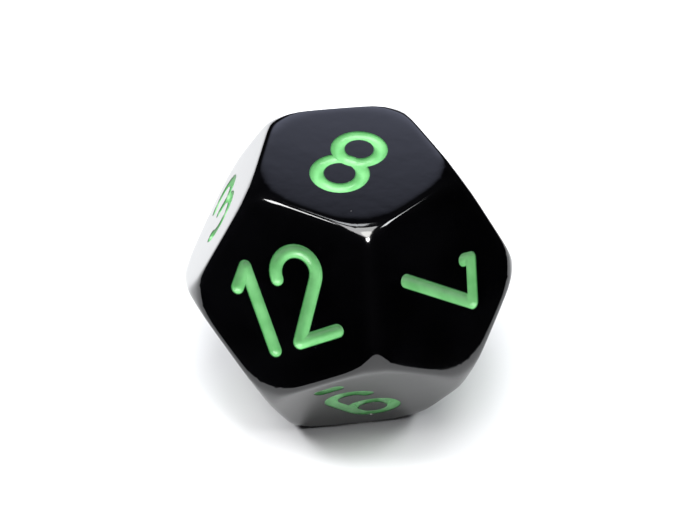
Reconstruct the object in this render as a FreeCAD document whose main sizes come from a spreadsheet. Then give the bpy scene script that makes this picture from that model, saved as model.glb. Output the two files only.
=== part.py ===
import FreeCAD, Part
import math
import os
from FreeCAD import Placement, Rotation, Vector

# A twelve-sided die in one frame: +Z up, origin at the middle of the face it rests on.
# One moulded body carries an engraved numeral on each face, and each groove is lined with
# a film of paint that is a piece of its own. Sizes are in millimetres.

doc = FreeCAD.newDocument("TwelveSidedDie")

# ---- driving dimensions ----------------------------------------------------------------

drivingDimensions = {
    "AcrossFaces": 18.0,      # from a face to the opposite one
    "TrimDiameter": 21.67,    # the ball that the twenty corners are tumbled down to
    "EdgeRounding": 0.7,      # radius along the thirty edges
    "TrimRounding": 0.4,      # radius where a trimmed corner meets the faces
    "NumeralHeight": 5.44,    # between the centre lines of a numeral's top and bottom
    "GrooveWidth": 0.9,       # across a groove at the face
    "GrooveDepth": 0.42,
    "PaintThickness": 0.08,
    "DigitSpacing": 3.12,     # between the two digits of 10 and 12
    "OnesSpacing": 2.6,       # between the two digits of 11
    "UnderlineLength": 1.16,  # between the end centres of the bar under 6 and 9
    "UnderlineDrop": 4.36,    # from a numeral's middle to its bar
}

sheet = doc.addObject("Spreadsheet::Sheet", "Dimensions")
for row, (alias, size) in enumerate(drivingDimensions.items(), start=1):
    sheet.set(f"A{row}", alias)
    sheet.set(f"B{row}", str(size))
    sheet.setAlias(f"B{row}", alias)
lastRow = len(drivingDimensions)
sheet.set(f"A{lastRow + 1}", "GrooveRadius")
sheet.set(f"B{lastRow + 1}", "=(GrooveWidth ^ 2 / 4 + GrooveDepth ^ 2) / (2 * GrooveDepth)")
sheet.setAlias(f"B{lastRow + 1}", "GrooveRadius")
doc.recompute()

centreHeight = sheet.AcrossFaces / 2
dieCentre = Vector(0, 0, centreHeight)
faceTilt = math.degrees(math.atan(0.5))        # how far the side faces lean from upright
cap = sheet.NumeralHeight / 2                  # a numeral reaches from -cap to +cap
grooveLift = sheet.GrooveRadius - sheet.GrooveDepth   # groove centre line above its face


# ---- strokes of the numerals -------------------------------------------------------------

class Stroke:
    """One run of the engraving tool, in a numeral's own plane: u to the right, v up."""

    def __init__(self, u, v):
        self.here = Vector(u, v, 0)
        self.pieces = []
        self.balls = [self.here]
        self.heading = None

    def turnTo(self, heading):
        if self.heading is not None and self.heading.getAngle(heading) > math.radians(1):
            self.balls.append(self.here)
        self.heading = heading

    def line(self, u, v):
        there = Vector(u, v, 0)
        self.turnTo((there - self.here).normalize())
        self.pieces.append(("line", self.here, there))
        self.here = there
        return self

    def arc(self, u, v, sweep):
        centre = Vector(u, v, 0)
        arm = self.here - centre
        side = math.copysign(90, sweep)
        self.turnTo(turned(arm, side).normalize())
        start = math.degrees(math.atan2(arm.y, arm.x))
        self.pieces.append(("arc", centre, arm.Length, min(start, start + sweep), abs(sweep)))
        self.here = centre + turned(arm, sweep)
        self.heading = turned(arm, sweep + side).normalize()
        return self

    def finish(self):
        closed = self.here.distanceToPoint(self.balls[0]) < 0.001
        self.balls = self.balls[1:] if closed else self.balls + [self.here]
        return self


def turned(vector, degrees):
    return Rotation(Vector(0, 0, 1), degrees).multVec(vector)


def onCircle(u, v, radius, degrees):
    angle = math.radians(degrees)
    return u + radius * math.cos(angle), v + radius * math.sin(angle)


def zero():
    radius = 1.33
    straight = cap - radius
    return [Stroke(radius, -straight).line(radius, straight).arc(0, straight, 180)
            .line(-radius, -straight).arc(0, -straight, 180)]


def one():
    return [Stroke(-1.0, cap - 1.05).line(0, cap).line(-0.05, -cap)]


def two():
    radius = 1.34
    foot = Vector(-1.4, -cap, 0)
    centre = Vector(0, cap - radius, 0)
    reach = (foot - centre).Length
    below = math.degrees(math.atan2(foot.y - centre.y, foot.x - centre.x))
    leaves = below + math.degrees(math.acos(radius / reach))   # where the neck leaves the bow
    return [Stroke(-radius, centre.y).arc(0, centre.y, leaves - 180)
            .line(foot.x, foot.y).line(1.28, -cap)]


def threeAndEightBows():
    upperRadius = 1.35
    lowerRadius = 1.415
    upper = cap - upperRadius
    lower = lowerRadius - cap
    apart = upper - lower
    drop = (apart ** 2 + upperRadius ** 2 - lowerRadius ** 2) / (2 * apart)
    waist = math.sqrt(upperRadius ** 2 - drop ** 2)
    return upper, upperRadius, lower, lowerRadius, Vector(-waist, upper - drop, 0)


def three():
    upper, upperRadius, lower, lowerRadius, waist = threeAndEightBows()
    opening = 155
    firstTurn = math.degrees(math.atan2(waist.y - upper, waist.x)) - opening
    secondTurn = -opening - math.degrees(math.atan2(waist.y - lower, waist.x))
    return [Stroke(*onCircle(0, upper, upperRadius, opening)).arc(0, upper, firstTurn)
            .arc(0, lower, secondTurn)]


def four():
    stem = 0.6
    bar = -1.0
    return [Stroke(stem, -cap).line(stem, cap).line(-1.6, bar).line(1.55, bar)]


def five():
    radius = 1.5
    centre = radius - cap
    shoulder = onCircle(-0.05, centre, radius, 138)
    return [Stroke(1.2, cap).line(-0.95, cap).line(*shoulder).arc(-0.05, centre, -280)]


def seven():
    top = cap - 0.1
    return [Stroke(-1.4, top - 0.62).line(-1.4, top).line(1.42, top).line(-0.95, -cap - 0.1)]


def eight():
    upper, upperRadius, lower, lowerRadius, _ = threeAndEightBows()
    return [Stroke(upperRadius, upper).arc(0, upper, 360), Stroke(lowerRadius, lower).arc(0, lower, 360)]


def nine():
    radius = 1.3
    straight = 0.28
    upper = cap - radius
    start = onCircle(0, upper - straight, radius, -30)
    return [Stroke(*start).arc(0, upper - straight, -150).line(-radius, upper).arc(0, upper, -180)
            .line(radius, radius - cap).arc(0, radius - cap, -168)]


def underline():
    half = sheet.UnderlineLength / 2
    return [Stroke(-half, 0).line(half, 0)]


# ---- faces and what is engraved on each ----------------------------------------------------

class Face:
    """A face's own axes: n outward, v towards the top of its numeral, u to the right."""

    def __init__(self, azimuth, tilt, turn):
        self.normal = heading(azimuth, tilt)
        upright = heading(azimuth, tilt + 90) if abs(tilt) < 90 else Vector(0, 1, 0)
        up = Rotation(self.normal, turn).multVec(upright)
        right = up.cross(self.normal)
        middle = dieCentre + self.normal * (sheet.AcrossFaces / 2)
        self.placement = Placement(middle, Rotation(right, up, self.normal, "ZXY"))


def heading(azimuth, tilt):
    flat = math.cos(math.radians(tilt))
    return Vector(flat * math.cos(math.radians(azimuth)), flat * math.sin(math.radians(azimuth)),
                  math.sin(math.radians(tilt)))


# A numeral's top points at a corner of its face, and the numerals of two opposite faces add up
# to thirteen. turn is how far, counter-clockwise, that corner is from the face's uppermost direction.
faces = {
    "8": Face(0, 90, -36),
    "12": Face(-126, faceTilt, 36),
    "7": Face(-54, faceTilt, -108),
    "11": Face(18, faceTilt, 36),
    "4": Face(90, faceTilt, -36),
    "3": Face(162, faceTilt, 108),
    "9": Face(-90, -faceTilt, -144),
    "10": Face(-18, -faceTilt, 72),
    "1": Face(54, -faceTilt, 0),
    "6": Face(126, -faceTilt, -72),
    "2": Face(-162, -faceTilt, 144),
    "5": Face(0, -90, 0),
}


class Pool:
    """One separate pool of paint: its node, face, strokes, place on the face and half turn."""

    def __init__(self, node, face, strokes, u=0.0, v=0.0, spin=0):
        self.node = node
        shift = Placement(Vector(u, v, 0), Rotation(Vector(0, 0, 1), spin))
        self.placement = faces[face].placement.multiply(shift)
        self.strokes = [stroke.finish() for stroke in strokes]


firstOfTwo = -2.0                                  # where the 1 of 10 and 12 stands
secondOfTwo = firstOfTwo + sheet.DigitSpacing
onesMiddle = 0.25
nineRight = 0.38
nineUp = 0.36
barDrop = nineUp - sheet.UnderlineDrop
pools = [
    Pool("numeral_1_paint", "1", one(), 0.4),
    Pool("numeral_2_paint", "2", two()),
    Pool("numeral_3_paint", "3", three(), -0.4, 0.7),
    Pool("numeral_4_paint", "4", four()),
    Pool("numeral_5_paint", "5", five()),
    Pool("numeral_6_paint", "6", nine(), 0, nineUp, 180),
    Pool("numeral_6_underline_paint", "6", underline(), 0, barDrop),
    Pool("numeral_7_paint", "7", seven(), 0.18),
    Pool("numeral_8_paint", "8", eight(), -0.05),
    Pool("numeral_9_paint", "9", nine(), nineRight, nineUp),
    Pool("numeral_9_underline_paint", "9", underline(), nineRight - 0.1, barDrop),
    Pool("numeral_10_first_digit_paint", "10", one(), firstOfTwo),
    Pool("numeral_10_second_digit_paint", "10", zero(), secondOfTwo),
    Pool("numeral_11_first_digit_paint", "11", one(), onesMiddle - sheet.OnesSpacing / 2),
    Pool("numeral_11_second_digit_paint", "11", one(), onesMiddle + sheet.OnesSpacing / 2),
    Pool("numeral_12_first_digit_paint", "12", one(), firstOfTwo),
    Pool("numeral_12_second_digit_paint", "12", two(), secondOfTwo),
]


# ---- helpers that add one object of the document -------------------------------------------

def add(kind, name, placement=Placement(), **bindings):
    piece = doc.addObject(kind, name)
    for size, expression in bindings.items():
        piece.setExpression(size, expression)
    piece.Placement = placement
    return piece


def joined(kind, name, shapes):
    if len(shapes) == 1:
        return shapes[0]
    group = doc.addObject(kind, name)
    group.Shapes = shapes
    return group


def cutAway(name, base, tool):
    left = doc.addObject("Part::Cut", name)
    left.Base = base
    left.Tool = tool
    return left


def shared(name, base, tool):
    both = doc.addObject("Part::Common", name)
    both.Base = base
    both.Tool = tool
    return both


def strokeTool(name, pool, radius):
    """A round-nosed tool swept along every stroke of a pool, as cylinders, rings and balls.

    It is made flat, in the numeral's own plane, and put on its face afterwards.
    """
    up = Vector(0, 0, 1)
    lift = up * grooveLift
    shapes = []
    for stroke in pool.strokes:
        for piece in stroke.pieces:
            if piece[0] == "line":
                _, start, end = piece
                along = (end - start).normalize()
                place = Placement(start + lift, Rotation(up, up.cross(along), along, "ZXY"))
                bar = add("Part::Cylinder", name + "Bar", place, Radius=radius)
                bar.Height = (end - start).Length
                shapes.append(bar)
            else:
                _, centre, bend, start, sweep = piece
                place = Placement(centre + lift, Rotation(up, start))
                bow = add("Part::Torus", name + "Bow", place, Radius2=radius)
                bow.Radius1 = bend
                bow.Angle3 = sweep
                shapes.append(bow)
        for point in stroke.balls:
            pole = Vector(math.cos(0.4), math.sin(0.4), 0)
            place = Placement(point + lift, Rotation(up, up.cross(pole), pole, "ZXY"))
            shapes.append(add("Part::Sphere", name + "Ball", place, Radius=radius))
    return joined("Part::MultiFuse", name, shapes)


def placed(name, shape, placement):
    group = doc.addObject("Part::Compound", name)
    group.Links = [shape]
    group.Placement = placement
    return group


# ---- the moulded body ------------------------------------------------------------------------

slabs = []
for azimuth, tilt in [(0, 90)] + [(-54 + 72 * step, faceTilt) for step in range(5)]:
    normal = heading(azimuth, tilt)
    start = dieCentre - normal * (sheet.AcrossFaces / 2)
    slabs.append(add("Part::Cylinder", "Slab", Placement(start, Rotation(Vector(0, 0, 1), normal)),
                     Radius="Dimensions.AcrossFaces", Height="Dimensions.AcrossFaces"))
sharpDie = joined("Part::MultiCommon", "SharpDie", slabs)
doc.recompute()

softDie = doc.addObject("Part::Fillet", "SoftEdgedDie")
softDie.Base = sharpDie
edgeCount = len(sharpDie.Shape.Edges)
softDie.Edges = [(number, sheet.EdgeRounding, sheet.EdgeRounding) for number in range(1, edgeCount + 1)]

trimBall = add("Part::Sphere", "TrimBall", Placement(dieCentre, Rotation()),
               Radius="Dimensions.TrimDiameter / 2")
blank = shared("TrimmedDie", softDie, trimBall)
doc.recompute()


def trimEdges(shape):
    """The numbers of the edges round the twenty ball-trimmed corners."""
    corners = [face for face in shape.Faces if isinstance(face.Surface, Part.Sphere)]
    rims = {edge.hashCode() for face in corners for edge in face.Edges}
    return [number for number, edge in enumerate(shape.Edges, start=1) if edge.hashCode() in rims]


roundBlank = doc.addObject("Part::Fillet", "RoundedBlank")
roundBlank.Base = blank
roundBlank.Edges = [(number, sheet.TrimRounding, sheet.TrimRounding) for number in trimEdges(blank.Shape)]
doc.recompute()

# ---- grooves and paint -------------------------------------------------------------------------

grooveTools = []
paints = []
for pool in pools:
    tool = strokeTool("Groove" + pool.node, pool, "Dimensions.GrooveRadius")
    inner = strokeTool("Hollow" + pool.node, pool, "Dimensions.GrooveRadius - Dimensions.PaintThickness")
    film = cutAway("Film" + pool.node, tool, inner)
    film.Placement = pool.placement
    paint = shared(pool.node, roundBlank, film)
    paint.Label = pool.node
    grooveTools.append(placed("Placed" + pool.node, tool, pool.placement))
    paints.append(paint)

engraving = doc.addObject("Part::Compound", "Engraving")
engraving.Links = grooveTools
body = cutAway("die_body", roundBlank, engraving)
body.Label = "die_body"
doc.recompute()

# ---- check and write -----------------------------------------------------------------------------

subParts = [body] + paints
for item in doc.Objects:
    if "Invalid" in item.State or "Error" in item.State:
        raise SystemExit(f"{item.Name} failed: {item.State}")
for item in subParts:
    if item.Shape.isNull() or not item.Shape.isValid() or len(item.Shape.Solids) != 1:
        raise SystemExit(f"{item.Label} is not one valid solid: {len(item.Shape.Solids)} solids")

os.makedirs("parts", exist_ok=True)
for item in subParts:
    item.Shape.exportStep(f"parts/{item.Label}.step")
    print(f"{item.Label}: {item.Shape.Volume:.4f} mm3, {len(item.Shape.Faces)} faces")
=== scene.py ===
import bpy, math
from mathutils import Matrix, Vector


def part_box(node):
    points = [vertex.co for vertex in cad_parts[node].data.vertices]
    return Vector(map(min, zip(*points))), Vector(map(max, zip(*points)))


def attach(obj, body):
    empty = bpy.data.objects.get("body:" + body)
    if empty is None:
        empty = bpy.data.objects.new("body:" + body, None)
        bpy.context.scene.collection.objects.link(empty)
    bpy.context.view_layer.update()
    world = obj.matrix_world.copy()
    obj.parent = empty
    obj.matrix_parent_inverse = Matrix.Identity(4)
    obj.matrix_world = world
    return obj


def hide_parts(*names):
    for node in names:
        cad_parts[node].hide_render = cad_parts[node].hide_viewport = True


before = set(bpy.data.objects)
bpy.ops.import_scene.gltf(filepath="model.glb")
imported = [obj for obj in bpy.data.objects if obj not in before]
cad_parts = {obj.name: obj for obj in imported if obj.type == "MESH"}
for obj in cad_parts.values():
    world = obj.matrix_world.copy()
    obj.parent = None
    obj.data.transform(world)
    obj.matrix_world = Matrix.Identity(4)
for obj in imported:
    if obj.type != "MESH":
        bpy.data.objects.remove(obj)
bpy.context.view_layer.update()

lowest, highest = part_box("die_body")
acrossFaces = highest.z - lowest.z
inradius = acrossFaces / 2
dieMiddle = Vector((0, 0, inradius))
mm = 0.001
tiny = 0.001 * mm          # points closer than this are one point


def pointing(azimuth, elevation):
    flat = math.cos(math.radians(elevation))
    return Vector((flat * math.cos(math.radians(azimuth)), flat * math.sin(math.radians(azimuth)),
                   math.sin(math.radians(elevation))))


cameraSettings = {
    "place": (-0.01426, -0.07889, 0.08325),
    "azimuth": 79.61,      # where it looks, degrees from +X towards +Y
    "elevation": -42.61,
    "roll": 1.84,
    "lens": 86.1,
}


def addCamera(settings):
    data = bpy.data.cameras.new("dieCamera")
    data.lens = settings["lens"]
    data.sensor_width = 36
    data.clip_start = 0.005
    camera = bpy.data.objects.new("dieCamera", data)
    bpy.context.collection.objects.link(camera)
    looks = pointing(settings["azimuth"], settings["elevation"]).to_track_quat("-Z", "Y").to_matrix()
    turned = looks @ Matrix.Rotation(math.radians(settings["roll"]), 3, "Z")
    camera.matrix_world = Matrix.Translation(settings["place"]) @ turned.to_4x4()
    bpy.context.scene.camera = camera


addCamera(cameraSettings)
bpy.context.scene.view_settings.view_transform = "Standard"
print("camera placed")


def addNode(tree, kind, inputs=None, **settings):
    node = tree.nodes.new(kind)
    for key, value in settings.items():
        setattr(node, key, value)
    for socket, value in (inputs or {}).items():
        if isinstance(value, bpy.types.NodeSocket):
            tree.links.new(value, node.inputs[socket])
        else:
            node.inputs[socket].default_value = value
    return node


def calculate(tree, operation, first, second=0.0, clamp=False):
    return addNode(tree, "ShaderNodeMath", {0: first, 1: second}, operation=operation,
                   use_clamp=clamp).outputs[0]


def remap(tree, value, low, high, newLow=0.0, newHigh=1.0, smooth=True):
    kind = "SMOOTHSTEP" if smooth else "LINEAR"
    return addNode(tree, "ShaderNodeMapRange", {"Value": value, "From Min": low, "From Max": high,
                   "To Min": newLow, "To Max": newHigh}, interpolation_type=kind).outputs[0]


# soft glowing panels that the gloss picks up: azimuth, elevation, where the glow starts to fade
# and where it is gone, in degrees from the middle, and its colour
surroundings = {
    "ambient": (0.003, 0.003, 0.004),
    "panels": {
        "backWall": (79, 24, 10, 20, (0.98, 1.04, 1.38)),
        "ceilingFront": (-70, 68, 5, 8, (8.8, 8.7, 8.2)),
    },
}


def addWorld(settings):
    world = bpy.data.worlds.new("softStudio")
    bpy.context.scene.world = world
    world.use_nodes = True
    tree = world.node_tree
    tree.nodes.clear()
    way = addNode(tree, "ShaderNodeTexCoord").outputs["Generated"]
    total = settings["ambient"]        # each panel's glow is added to this
    for azimuth, elevation, inner, outer, colour in settings["panels"].values():
        dot = addNode(tree, "ShaderNodeVectorMath", {0: way, 1: pointing(azimuth, elevation)},
                      operation="DOT_PRODUCT").outputs["Value"]
        mask = remap(tree, dot, math.cos(math.radians(outer)), math.cos(math.radians(inner)))
        tint = addNode(tree, "ShaderNodeVectorMath", {0: colour, "Scale": mask},
                       operation="SCALE").outputs[0]
        total = addNode(tree, "ShaderNodeVectorMath", {0: total, 1: tint},
                        operation="ADD").outputs[0]
    glow = addNode(tree, "ShaderNodeBackground", {"Color": total}).outputs[0]
    paper = addNode(tree, "ShaderNodeBackground", {"Color": (1, 1, 1, 1)}).outputs[0]
    seen = addNode(tree, "ShaderNodeLightPath").outputs["Is Camera Ray"]
    mixed = addNode(tree, "ShaderNodeMixShader", {0: seen, 1: glow, 2: paper}).outputs[0]
    addNode(tree, "ShaderNodeOutputWorld", {"Surface": mixed})


# azimuth, elevation, distance, width and height in metres, brightness of its face, colour
softBoxes = {
    "key": (176, 56, 0.30, 0.11, 0.11, 22, (1.0, 1.0, 1.0)),
    "overhead": (-100, 80, 0.30, 0.18, 0.18, 9, (1.0, 1.0, 1.0)),
    "frontStrip": (-75, 57.5, 0.30, 0.034, 0.024, 50, (1.0, 1.0, 1.0)),
    "rightFill": (-12, 52, 0.30, 0.08, 0.08, 17, (0.97, 0.99, 1.0)),
    "back": (85, 66, 0.35, 0.08, 0.08, 8, (0.95, 0.98, 1.0)),
}


def addSoftBoxes(boxes):
    for name, (azimuth, elevation, distance, width, height, brightness, colour) in boxes.items():
        data = bpy.data.lights.new(name, "AREA")
        data.shape = "RECTANGLE"
        data.size = width
        data.size_y = height
        data.energy = brightness * math.pi * width * height
        data.color = colour
        lamp = bpy.data.objects.new(name, data)
        way = pointing(azimuth, elevation)
        lamp.matrix_world = (Matrix.Translation(dieMiddle + way * distance)
                             @ way.to_track_quat("Z", "Y").to_matrix().to_4x4())
        lamp.visible_camera = False
        bpy.context.collection.objects.link(lamp)


def clearSelection():
    if bpy.context.object and bpy.context.object.mode != "OBJECT":
        bpy.ops.object.mode_set(mode="OBJECT")
    bpy.ops.object.select_all(action="DESELECT")


def pick(piece):
    clearSelection()
    piece.select_set(True)
    bpy.context.view_layer.objects.active = piece


def placeInMesh(piece, placement=None):
    pick(piece)
    if placement is not None:
        piece.matrix_world = placement @ piece.matrix_world
    bpy.ops.object.transform_apply(location=True, rotation=True, scale=True)


def applyModifier(piece, kind, **settings):
    pick(piece)
    modifier = piece.modifiers.new(kind.title(), kind)
    for key, value in settings.items():
        setattr(modifier, key, value)
    bpy.ops.object.modifier_apply(modifier=modifier.name)


def mergeDoubles(piece):
    pick(piece)
    bpy.ops.object.mode_set(mode="EDIT")
    bpy.ops.mesh.select_all(action="SELECT")
    bpy.ops.mesh.remove_doubles(threshold=tiny)
    bpy.ops.mesh.dissolve_degenerate(threshold=tiny)
    bpy.ops.object.mode_set(mode="OBJECT")


floorSettings = {
    "radius": 0.075,
    "colour": (0.80, 0.805, 0.82),
    "roughness": 0.7,
    "shine": 0.1,
}


def addFloor(settings):
    clearSelection()
    bpy.ops.mesh.primitive_circle_add(vertices=96, radius=settings["radius"], fill_type="NGON",
                                      location=(0, 0, 0))
    floor = bpy.context.object
    floor.name = "floor"
    material = bpy.data.materials.new("whiteCard")
    material.use_nodes = True
    shader = material.node_tree.nodes["Principled BSDF"]
    shader.inputs["Base Color"].default_value = (*settings["colour"], 1)
    shader.inputs["Roughness"].default_value = settings["roughness"]
    shader.inputs["Specular IOR Level"].default_value = settings["shine"]
    floor.data.materials.append(material)


addWorld(surroundings)
addSoftBoxes(softBoxes)
addFloor(floorSettings)
print("floor and lights ready")


# each face: azimuth and tilt of its outward direction, and how far its numeral's top is turned from
# the face's uppermost direction, counter-clockwise
faceTilt = math.degrees(math.atan(0.5))
dieFaces = {
    "8": (0, 90, -36),
    "12": (-126, faceTilt, 36),
    "7": (-54, faceTilt, -108),
    "11": (18, faceTilt, 36),
    "4": (90, faceTilt, -36),
    "3": (162, faceTilt, 108),
    "9": (-90, -faceTilt, -144),
    "10": (-18, -faceTilt, 72),
    "1": (54, -faceTilt, 0),
    "6": (126, -faceTilt, -72),
    "2": (-162, -faceTilt, 144),
    "5": (0, -90, 0),
}


def facePlacement(azimuth, tilt, turn):
    normal = pointing(azimuth, tilt)
    upright = pointing(azimuth, tilt + 90) if abs(tilt) < 90 else Vector((0, 1, 0))
    up = Matrix.Rotation(math.radians(turn), 3, normal) @ upright
    right = up.cross(normal)
    axes = Matrix((right, up, normal)).transposed().to_4x4()
    return Matrix.Translation(dieMiddle + normal * inradius) @ axes


# sizes in millimetres
blankSettings = {
    "bevelWidth": 1.5,       # how far from each edge the surface is cut into fine strips
    "strips": 18,
    "cutsAlongEdge": 9,
    "softness": 85,          # a higher power leaves a sharper edge
    "cornerRadius": 10.85,   # the ball that the corners are tumbled down to
    "cornerSoftness": 115,
}


def tumbledDistance(direction, settings):
    share = sum(max(0, direction.dot(pointing(azimuth, tilt))) ** settings["softness"]
                for azimuth, tilt, turn in dieFaces.values())
    low, high = inradius / mm, settings["cornerRadius"]
    for _ in range(24):
        middle = (low + high) / 2
        filled = (share * (middle * mm / inradius) ** settings["softness"]
                  + (middle / settings["cornerRadius"]) ** settings["cornerSoftness"])
        low, high = (low, middle) if filled > 1 else (middle, high)
    return low * mm


def makeBlank(settings):
    clearSelection()
    bpy.ops.mesh.primitive_cube_add(size=1.6 * acrossFaces, location=dieMiddle)
    blank = bpy.context.object
    blank.name = "dieBody"
    placeInMesh(blank)
    bpy.ops.object.mode_set(mode="EDIT")
    for azimuth, tilt, turn in dieFaces.values():
        normal = pointing(azimuth, tilt)
        bpy.ops.mesh.select_all(action="SELECT")
        bpy.ops.mesh.bisect(plane_co=dieMiddle + normal * inradius, plane_no=normal, use_fill=True,
                            clear_outer=True, threshold=tiny)
    bpy.ops.mesh.select_all(action="SELECT")
    bpy.ops.mesh.bevel(offset_type="OFFSET", offset=settings["bevelWidth"] * mm, affect="EDGES",
                       segments=settings["strips"], profile=0.5)
    bpy.ops.mesh.select_all(action="DESELECT")
    bpy.ops.object.mode_set(mode="OBJECT")
    mesh = blank.data
    for edge in mesh.edges:                    # the long edges of the strips
        first, second = (mesh.vertices[number].co for number in edge.vertices)
        edge.select = (first - second).length > 2 * mm
    bpy.ops.object.mode_set(mode="EDIT")
    bpy.ops.mesh.select_mode(type="EDGE")
    bpy.ops.mesh.subdivide(number_cuts=settings["cutsAlongEdge"])
    bpy.ops.mesh.select_mode(type="VERT")
    bpy.ops.object.mode_set(mode="OBJECT")
    for vertex in mesh.vertices:               # tumbled down to a soft-edged shape
        direction = (vertex.co - dieMiddle).normalized()
        vertex.co = dieMiddle + direction * tumbledDistance(direction, settings)
    return blank


# the tool that engraves, in millimetres
engraving = {
    "numeralHeight": 5.44,   # between the centre lines of a numeral's top and bottom
    "grooveWidth": 0.9,
    "grooveDepth": 0.42,
    "plugTop": 0.3,          # how far the cutting plugs stand above the face
    "sides": 24,
    "noseRings": 6,
    "degreesPerRing": 11,
}
cap = engraving["numeralHeight"] / 2
grooveRadius = ((engraving["grooveWidth"] ** 2 / 4 + engraving["grooveDepth"] ** 2)
                / (2 * engraving["grooveDepth"]))


def onCircle(u, v, radius, degrees):
    return u + radius * math.cos(math.radians(degrees)), v + radius * math.sin(math.radians(degrees))


# a stroke is its start and then its steps: (u, v) is a straight to that point, and (u, v, sweep) is
# an arc about that point, counter-clockwise in degrees
def zero():
    radius = 1.33
    straight = cap - radius
    return [[(radius, -straight), (radius, straight), (0, straight, 180), (-radius, -straight),
             (0, -straight, 180)]]


def one():
    return [[(-1.0, cap - 1.05), (0, cap), (-0.05, -cap)]]


def two():
    radius = 1.34
    foot = Vector((-1.4, -cap))
    centre = Vector((0, cap - radius))
    reach = foot - centre
    below = math.degrees(math.atan2(reach.y, reach.x))
    leaves = below + math.degrees(math.acos(radius / reach.length))  # where the neck leaves the bow
    return [[(-radius, centre.y), (0, centre.y, leaves - 180), tuple(foot), (1.28, -cap)]]


bows = {"upperRadius": 1.35, "lowerRadius": 1.415}


def bowMiddles():
    upper = cap - bows["upperRadius"]
    lower = bows["lowerRadius"] - cap
    apart = upper - lower
    drop = (apart ** 2 + bows["upperRadius"] ** 2 - bows["lowerRadius"] ** 2) / (2 * apart)
    waist = (-math.sqrt(bows["upperRadius"] ** 2 - drop ** 2), upper - drop)
    return upper, lower, waist


def three():
    upper, lower, waist = bowMiddles()
    opening = 155
    firstTurn = math.degrees(math.atan2(waist[1] - upper, waist[0])) - opening
    secondTurn = -opening - math.degrees(math.atan2(waist[1] - lower, waist[0]))
    return [[onCircle(0, upper, bows["upperRadius"], opening), (0, upper, firstTurn),
             (0, lower, secondTurn)]]


def four():
    stem = 0.6
    bar = -1.0
    return [[(stem, -cap), (stem, cap), (-1.6, bar), (1.55, bar)]]


def five():
    radius = 1.5
    middle = radius - cap
    return [[(1.2, cap), (-0.95, cap), onCircle(-0.05, middle, radius, 138), (-0.05, middle, -280)]]


def seven():
    top = cap - 0.1
    return [[(-1.4, top - 0.62), (-1.4, top), (1.42, top), (-0.95, -cap - 0.1)]]


def eight():
    upper, lower, waist = bowMiddles()
    return [[(bows["upperRadius"], upper), (0, upper, 180), (0, upper, 180)],
            [(bows["lowerRadius"], lower), (0, lower, 180), (0, lower, 180)]]


def nine():
    radius = 1.3
    upper = cap - radius
    low = upper - 0.28
    return [[onCircle(0, low, radius, -30), (0, low, -150), (-radius, upper), (0, upper, -180),
             (radius, radius - cap), (0, radius - cap, -168)]]


def underline():
    return [[(-0.58, 0), (0.58, 0)]]


def flat(u, v):
    return Vector((u, v, 0)) * mm


def headingOf(here, step):
    if len(step) == 2:
        return (flat(*step) - here).normalized()
    arm = here - flat(*step[:2])
    return Vector((-arm.y, arm.x, 0)).normalized() * math.copysign(1, step[2])


def extrudeRing(move, scale=1.0):
    bpy.ops.mesh.extrude_region_move(TRANSFORM_OT_translate={"value": move})
    if scale != 1.0:
        bpy.ops.transform.resize(value=(scale, scale, scale))


def roundNose(along, radius, opening):
    rings = engraving["noseRings"]
    angles = [math.radians(90 * ring / rings) for ring in range(1, rings + 1)]
    if not opening:
        angles.reverse()
    for first, second in zip(angles, angles[1:]):
        advance = radius * abs(math.cos(first) - math.cos(second))
        extrudeRing(along * advance, math.sin(second) / math.sin(first))


def swingRing(centre, lift, degrees):
    rings = max(2, math.ceil(abs(degrees) / engraving["degreesPerRing"]))
    bpy.ops.mesh.spin(steps=rings, angle=-math.radians(degrees), center=centre + lift, axis=(0, 0, 1))


def strokeEnd(stroke):
    here = flat(*stroke[0])
    for step in stroke[1:]:
        if len(step) == 2:
            here = flat(*step)
        else:
            centre = flat(*step[:2])
            here = centre + Matrix.Rotation(math.radians(step[2]), 3, "Z") @ (here - centre)
    return here


def sweepStroke(stroke, radius, lift, stepLength):
    here = flat(*stroke[0])
    along = headingOf(here, stroke[1])
    loop = (strokeEnd(stroke) - here).length < tiny
    firstAngle = math.radians(90 / engraving["noseRings"])
    ringRadius = radius if loop else radius * math.sin(firstAngle)
    back = 0 if loop else radius * math.cos(firstAngle)
    clearSelection()
    bpy.ops.mesh.primitive_circle_add(vertices=engraving["sides"], radius=ringRadius, fill_type="NGON",
                                      location=here - along * back + lift,
                                      rotation=along.to_track_quat("Z", "Y").to_euler())
    tube = bpy.context.object
    placeInMesh(tube)
    bpy.ops.object.mode_set(mode="EDIT")
    bpy.ops.mesh.select_all(action="SELECT")
    if not loop:
        roundNose(along, radius, True)
    for step in stroke[1:]:
        newAlong = headingOf(here, step)
        corner = math.degrees(math.atan2(along.cross(newAlong).z, along.dot(newAlong)))
        if abs(corner) > 1:
            swingRing(here, lift, corner)
        if len(step) == 2:
            there = flat(*step)
            count = max(1, round((there - here).length / stepLength))
            for _ in range(count):
                extrudeRing((there - here) / count)
            here, along = there, newAlong
        else:
            centre = flat(*step[:2])
            swingRing(centre, lift, step[2])
            turn = Matrix.Rotation(math.radians(step[2]), 3, "Z")
            here, along = centre + turn @ (here - centre), turn @ newAlong
    if loop:
        bpy.ops.mesh.select_face_by_sides(number=engraving["sides"], extend=False)
        bpy.ops.mesh.delete(type="ONLY_FACE")
    else:
        roundNose(along, radius, False)
    bpy.ops.mesh.select_all(action="SELECT")
    bpy.ops.mesh.remove_doubles(threshold=0.5 * tiny)
    bpy.ops.mesh.normals_make_consistent(inside=False)
    bpy.ops.object.mode_set(mode="OBJECT")
    return tube


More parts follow.
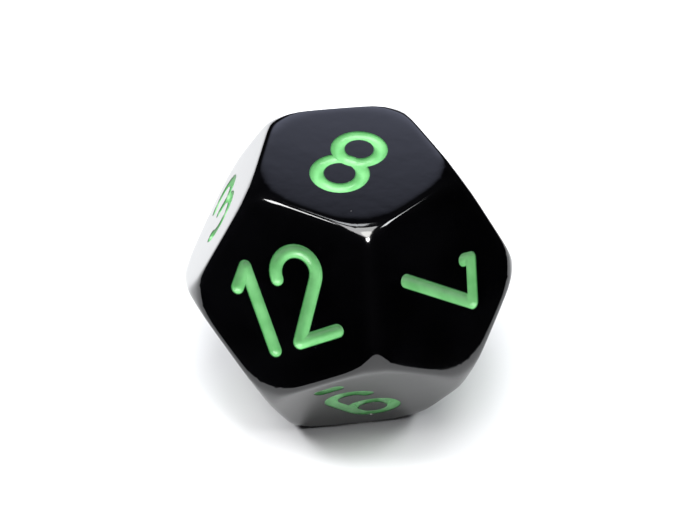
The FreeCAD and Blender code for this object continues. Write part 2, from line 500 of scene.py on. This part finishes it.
def makeTool(name, strokes, radius, lift, stepLength):
    tubes = [sweepStroke(stroke, radius, lift, stepLength) for stroke in strokes]
    pick(tubes[0])
    for tube in tubes[1:]:
        tube.select_set(True)
    if len(tubes) > 1:
        bpy.ops.object.join()
    tubes[0].name = name
    return tubes[0]


# every pool of paint: its node, its face, its shape, its place on the face and its half turn
shapes = {"zero": zero(), "one": one(), "two": two(), "three": three(), "four": four(), "five": five(),
          "seven": seven(), "eight": eight(), "nine": nine(), "underline": underline()}
firstOfTwo = -2.0
secondOfTwo = firstOfTwo + 3.12
nineRight = 0.38
nineUp = 0.36
barDrop = nineUp - 4.36
pools = [
    ("numeral_1_paint", "1", "one", 0.4, 0, 0),
    ("numeral_2_paint", "2", "two", 0, 0, 0),
    ("numeral_3_paint", "3", "three", -0.4, 0.7, 0),
    ("numeral_4_paint", "4", "four", 0, 0, 0),
    ("numeral_5_paint", "5", "five", 0, 0, 0),
    ("numeral_6_paint", "6", "nine", 0, nineUp, 180),
    ("numeral_6_underline_paint", "6", "underline", 0, barDrop, 0),
    ("numeral_7_paint", "7", "seven", 0.18, 0, 0),
    ("numeral_8_paint", "8", "eight", -0.05, 0, 0),
    ("numeral_9_paint", "9", "nine", nineRight, nineUp, 0),
    ("numeral_9_underline_paint", "9", "underline", nineRight - 0.1, barDrop, 0),
    ("numeral_10_first_digit_paint", "10", "one", firstOfTwo, 0, 0),
    ("numeral_10_second_digit_paint", "10", "zero", secondOfTwo, 0, 0),
    ("numeral_11_first_digit_paint", "11", "one", -1.05, 0, 0),
    ("numeral_11_second_digit_paint", "11", "one", 1.55, 0, 0),
    ("numeral_12_first_digit_paint", "12", "one", firstOfTwo, 0, 0),
    ("numeral_12_second_digit_paint", "12", "two", secondOfTwo, 0, 0),
]

# the paint's film, in millimetres
paintFilm = {
    "below": 0.02,        # its rim under the face
    "floor": 0.08,        # its thickness at the bottom of the groove
    "wall": 0.03,         # and up the sides
    "unevenness": 0.02,
    "rippleSize": 0.6,
    "stepLength": 0.25,
    "slab": 9.0,
}


def makeSlab(name, top):
    side = paintFilm["slab"] * mm
    clearSelection()
    bpy.ops.mesh.primitive_cube_add(size=side, location=(0, 0, top * mm - side / 2))
    slab = bpy.context.object
    slab.name = name
    placeInMesh(slab)
    return slab


def makePlug(shape):
    lift = Vector((0, 0, grooveRadius - engraving["grooveDepth"])) * mm
    tool = makeTool(shape + "Tool", shapes[shape], grooveRadius * mm, lift, 10 * mm)
    plug = makeSlab(shape + "Plug", engraving["plugTop"])
    applyModifier(plug, "BOOLEAN", operation="INTERSECT", object=tool, solver="EXACT", use_self=True)
    bpy.data.objects.remove(tool)
    mergeDoubles(plug)
    return plug


def makeFilm(shape, plug):
    innerRadius = grooveRadius - paintFilm["wall"]
    lift = Vector((0, 0, innerRadius - engraving["grooveDepth"] + paintFilm["floor"])) * mm
    hollow = makeTool(shape + "Hollow", shapes[shape], innerRadius * mm, lift,
                      paintFilm["stepLength"] * mm)
    ripple = bpy.data.textures.new(shape + "Ripple", "CLOUDS")
    ripple.noise_scale = paintFilm["rippleSize"] * mm
    ripple.noise_depth = 1
    applyModifier(hollow, "DISPLACE", texture=ripple, texture_coords="LOCAL", mid_level=0.5,
                  strength=paintFilm["unevenness"] * mm)
    film = makeSlab(shape + "Film", -paintFilm["below"])
    applyModifier(film, "BOOLEAN", operation="INTERSECT", object=plug, solver="EXACT")
    applyModifier(film, "BOOLEAN", operation="DIFFERENCE", object=hollow, solver="EXACT", use_self=True)
    bpy.ops.object.shade_smooth_by_angle(angle=math.radians(38))
    bpy.data.objects.remove(hollow)
    return film


def copyTo(piece, name, placement):
    copy = piece.copy()
    copy.data = piece.data.copy()
    copy.name = name
    bpy.context.scene.collection.objects.link(copy)
    placeInMesh(copy, placement)
    return copy


def makeDie():
    body = makeBlank(blankSettings)
    print("blank ready:", len(body.data.polygons), "faces")
    plugs = {shape: makePlug(shape) for shape in shapes}
    films = {shape: makeFilm(shape, plug) for shape, plug in plugs.items()}
    print("numeral shapes ready:", len(shapes))
    paints = []
    for node, face, shape, u, v, spin in pools:
        placement = (facePlacement(*dieFaces[face]) @ Matrix.Translation(flat(u, v))
                     @ Matrix.Rotation(math.radians(spin), 4, "Z"))
        words = node.replace("numeral_", "").replace("_paint", "")
        pieceName = "paint" + words.title().replace("_", "")
        piece = copyTo(films[shape], pieceName, placement)
        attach(piece, "root")
        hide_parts(node)
        paints.append(piece)
        cutter = copyTo(plugs[shape], node + "Cutter", placement)
        applyModifier(body, "BOOLEAN", operation="DIFFERENCE", object=cutter, solver="EXACT")
        bpy.data.objects.remove(cutter)
    for leftover in list(plugs.values()) + list(films.values()):
        bpy.data.objects.remove(leftover)
    mergeDoubles(body)
    print("paint ready:", len(paints), "pools")
    print("engraved:", len(body.data.polygons), "faces")
    bpy.ops.object.shade_smooth_by_angle(angle=math.radians(40))
    applyModifier(body, "WEIGHTED_NORMAL", keep_sharp=True, weight=100, mode="FACE_AREA_WITH_ANGLE")
    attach(body, "root")
    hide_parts("die_body")
    return body, paints


dieBody, paintPieces = makeDie()
print("die modelled")


def newGroup(name, inputs, outputs):
    group = bpy.data.node_groups.new(name, "ShaderNodeTree")
    for label, value in inputs.items():
        socket = group.interface.new_socket(label, in_out="INPUT", socket_type="NodeSocketFloat")
        socket.default_value = value
    for label, kind in outputs.items():
        group.interface.new_socket(label, in_out="OUTPUT", socket_type=kind)
    given = group.nodes.new("NodeGroupInput").outputs
    taken = group.nodes.new("NodeGroupOutput").inputs
    return group, given, taken


def useGroup(tree, group, **values):
    node = tree.nodes.new("ShaderNodeGroup")
    node.node_tree = group
    for label, value in values.items():
        node.inputs[label].default_value = value
    return node.outputs


def surfacePoint(tree):
    return addNode(tree, "ShaderNodeTexCoord").outputs["Object"]


# where a point lies on the die: Edge is 1 on a rounded edge and 0 inside a face, Depth is how far
# under its face a point lies, 0 at the face and 1 at the bottom of a groove
def makeDieZones():
    tree, given, taken = newGroup("dieZones", {}, {"Edge": "NodeSocketFloat", "Depth": "NodeSocketFloat"})
    fromMiddle = addNode(tree, "ShaderNodeVectorMath", {0: surfacePoint(tree), 1: dieMiddle},
                         operation="SUBTRACT").outputs[0]
    furthest = 0.0
    nearFaces = 0.0
    for face in ("8", "12", "7", "11", "4", "3"):      # one of each opposite pair
        azimuth, tilt, turn = dieFaces[face]
        dot = addNode(tree, "ShaderNodeVectorMath", {0: fromMiddle, 1: pointing(azimuth, tilt)},
                      operation="DOT_PRODUCT").outputs["Value"]
        reach = calculate(tree, "ABSOLUTE", dot)
        furthest = calculate(tree, "MAXIMUM", reach, furthest)
        near = remap(tree, reach, inradius - 0.75 * mm, inradius - 0.1 * mm)
        nearFaces = calculate(tree, "ADD", near, nearFaces)
    edge = calculate(tree, "SUBTRACT", nearFaces, 1.0, clamp=True)
    depth = remap(tree, furthest, inradius, inradius - engraving["grooveDepth"] * mm, smooth=False)
    tree.links.new(edge, taken["Edge"])
    tree.links.new(depth, taken["Depth"])
    return tree


# the faint orange peel and grain of a tumbled surface, Scale in lumps per metre
def makeGrain():
    tree, given, taken = newGroup("tumbledGrain", {"Scale": 900.0, "Fineness": 7.0},
                                  {"Height": "NodeSocketFloat", "Cloud": "NodeSocketFloat"})
    point = surfacePoint(tree)
    broad = addNode(tree, "ShaderNodeTexNoise", {"Vector": point, "Scale": given["Scale"], "Detail": 2.0})
    fineScale = calculate(tree, "MULTIPLY", given["Scale"], given["Fineness"])
    fine = addNode(tree, "ShaderNodeTexNoise", {"Vector": point, "Scale": fineScale, "Detail": 3.0})
    cloudScale = calculate(tree, "MULTIPLY", given["Scale"], 0.3)
    cloud = addNode(tree, "ShaderNodeTexNoise", {"Vector": point, "Scale": cloudScale, "Detail": 4.0})
    height = calculate(tree, "ADD", broad.outputs[0], calculate(tree, "MULTIPLY", fine.outputs[0], 0.12))
    tree.links.new(height, taken["Height"])
    tree.links.new(remap(tree, cloud.outputs[0], 0.35, 0.68), taken["Cloud"])
    return tree


# hairline scratches in two directions, Amount from none to many
def makeScratches():
    tree, given, taken = newGroup("hairScratches", {"Scale": 60.0, "Amount": 0.5},
                                  {"Mask": "NodeSocketFloat"})
    point = surfacePoint(tree)
    level = remap(tree, given["Amount"], 0.0, 1.0, 0.80, 0.66, smooth=False)
    softer = calculate(tree, "ADD", level, 0.05)
    total = 0.0
    for turn, stretch in ((0.6, 46.0), (2.1, 38.0)):
        turned = addNode(tree, "ShaderNodeMapping", {"Vector": point, "Rotation": (turn, 0.4, turn * 1.7),
                                                     "Scale": (1.0, stretch, 2.0)}).outputs[0]
        lines = addNode(tree, "ShaderNodeTexNoise", {"Vector": turned, "Scale": given["Scale"],
                                                     "Detail": 1.0})
        line = addNode(tree, "ShaderNodeMapRange", {"Value": lines.outputs[0], "From Min": level,
                       "From Max": softer}, interpolation_type="SMOOTHSTEP").outputs[0]
        total = calculate(tree, "MAXIMUM", line, total)
    tree.links.new(total, taken["Mask"])
    return tree


# a few specks of dust on what faces up
def makeDust():
    tree, given, taken = newGroup("dustSpecks", {"Scale": 1400.0, "Size": 0.12},
                                  {"Mask": "NodeSocketFloat"})
    specks = addNode(tree, "ShaderNodeTexVoronoi", {"Vector": surfacePoint(tree),
                                                    "Scale": given["Scale"]})
    dot = calculate(tree, "LESS_THAN", specks.outputs["Distance"], given["Size"])
    chosen = addNode(tree, "ShaderNodeSeparateXYZ", {0: specks.outputs["Color"]}).outputs[0]
    kept = calculate(tree, "GREATER_THAN", chosen, 0.9)
    normal = tree.nodes.new("ShaderNodeNewGeometry").outputs["Normal"]
    facing = addNode(tree, "ShaderNodeSeparateXYZ", {0: normal})
    upward = remap(tree, facing.outputs["Z"], 0.2, 0.9)
    mask = calculate(tree, "MULTIPLY", calculate(tree, "MULTIPLY", dot, kept), upward)
    tree.links.new(mask, taken["Mask"])
    return tree


dieZones = makeDieZones()
tumbledGrain = makeGrain()
hairScratches = makeScratches()
dustSpecks = makeDust()


def newMaterial(name):
    material = bpy.data.materials.new(name)
    material.use_nodes = True
    return material, material.node_tree, material.node_tree.nodes["Principled BSDF"]


def mixColours(tree, factor, first, second):
    node = tree.nodes.new("ShaderNodeMix")
    node.data_type = "RGBA"
    for label, value in (("Factor_Float", factor), ("A_Color", first), ("B_Color", second)):
        socket = next(found for found in node.inputs if found.identifier == label)
        if isinstance(value, bpy.types.NodeSocket):
            tree.links.new(value, socket)
        else:
            socket.default_value = value if label == "Factor_Float" else (*value, 1)
    return next(found for found in node.outputs if found.identifier == "Result_Color")


plasticSettings = {
    "deep": (0.0003, 0.0003, 0.0004),
    "cloudy": (0.0010, 0.0010, 0.0013),
    "scuffed": (0.010, 0.010, 0.011),
    "dust": (0.022, 0.022, 0.023),
    "roughness": 0.045,
    "refraction": 1.55,
    "peel": 0.004,           # height of the orange peel, mm
}


def blackPlastic(settings):
    material, tree, shader = newMaterial("blackPlastic")
    grain = useGroup(tree, tumbledGrain, Scale=700.0, Fineness=8.0)
    scratches = useGroup(tree, hairScratches, Scale=55.0, Amount=0.45)["Mask"]
    edge = useGroup(tree, dieZones)["Edge"]
    dust = useGroup(tree, dustSpecks, Scale=1500.0, Size=0.075)["Mask"]
    wear = calculate(tree, "MULTIPLY", edge, calculate(tree, "ADD", scratches, 0.15))
    base = mixColours(tree, grain["Cloud"], settings["deep"], settings["cloudy"])
    base = mixColours(tree, calculate(tree, "MULTIPLY", wear, 0.35), base, settings["scuffed"])
    base = mixColours(tree, dust, base, settings["dust"])
    tree.links.new(base, shader.inputs["Base Color"])
    roughness = calculate(tree, "ADD", calculate(tree, "MULTIPLY", grain["Cloud"], 0.03),
                          settings["roughness"])
    roughness = calculate(tree, "ADD", calculate(tree, "MULTIPLY", wear, 0.12), roughness)
    roughness = calculate(tree, "ADD", calculate(tree, "MULTIPLY", scratches, 0.05), roughness)
    roughness = calculate(tree, "ADD", calculate(tree, "MULTIPLY", dust, 0.5), roughness, clamp=True)
    tree.links.new(roughness, shader.inputs["Roughness"])
    height = calculate(tree, "SUBTRACT", grain["Height"], calculate(tree, "MULTIPLY", scratches, 0.10))
    bump = addNode(tree, "ShaderNodeBump", {"Height": height, "Strength": 1.0,
                                            "Distance": settings["peel"] * mm}).outputs[0]
    tree.links.new(bump, shader.inputs["Normal"])
    shader.inputs["IOR"].default_value = settings["refraction"]
    return material


paintSettings = {
    # darker green for the upper groove walls: partly the thinner film over the black, partly painted
    # shade
    "upperWallsThinAndShaded": (0.030, 0.150, 0.040),
    "body": (0.110, 0.350, 0.120),
    "pooled": (0.150, 0.430, 0.160),
    "dust": (0.35, 0.4, 0.35),
    "roughness": 0.34,
    "refraction": 1.55,
    "brushing": 0.02,        # height of the paint's ripples, mm
}


def greenPaint(settings):
    material, tree, shader = newMaterial("greenPaint")
    grain = useGroup(tree, tumbledGrain, Scale=2600.0, Fineness=4.0)
    streaks = useGroup(tree, hairScratches, Scale=120.0, Amount=0.9)["Mask"]
    depth = useGroup(tree, dieZones)["Depth"]
    dust = useGroup(tree, dustSpecks, Scale=2600.0, Size=0.12)["Mask"]
    base = mixColours(tree, grain["Cloud"], settings["body"], settings["pooled"])
    # the upper walls of each groove take the darker green: partly a thinner film, partly painted shade on
    # the walls
    base = mixColours(tree, remap(tree, depth, 0.04, 0.22, 1.0, 0.0), base, settings["upperWallsThinAndShaded"])
    base = mixColours(tree, calculate(tree, "MULTIPLY", dust, 0.5), base, settings["dust"])
    tree.links.new(base, shader.inputs["Base Color"])
    roughness = calculate(tree, "ADD", calculate(tree, "MULTIPLY", grain["Cloud"], 0.12),
                          settings["roughness"])
    roughness = calculate(tree, "ADD", calculate(tree, "MULTIPLY", streaks, 0.08), roughness, clamp=True)
    tree.links.new(roughness, shader.inputs["Roughness"])
    height = calculate(tree, "ADD", grain["Height"], calculate(tree, "MULTIPLY", streaks, 0.15))
    bump = addNode(tree, "ShaderNodeBump", {"Height": height, "Strength": 1.0,
                                            "Distance": settings["brushing"] * mm}).outputs[0]
    tree.links.new(bump, shader.inputs["Normal"])
    shader.inputs["IOR"].default_value = settings["refraction"]
    return material


plastic = blackPlastic(plasticSettings)
paint = greenPaint(paintSettings)
dieBody.data.materials.append(plastic)
for piece in paintPieces:
    piece.data.materials.clear()
    piece.data.materials.append(paint)
print("materials ready")
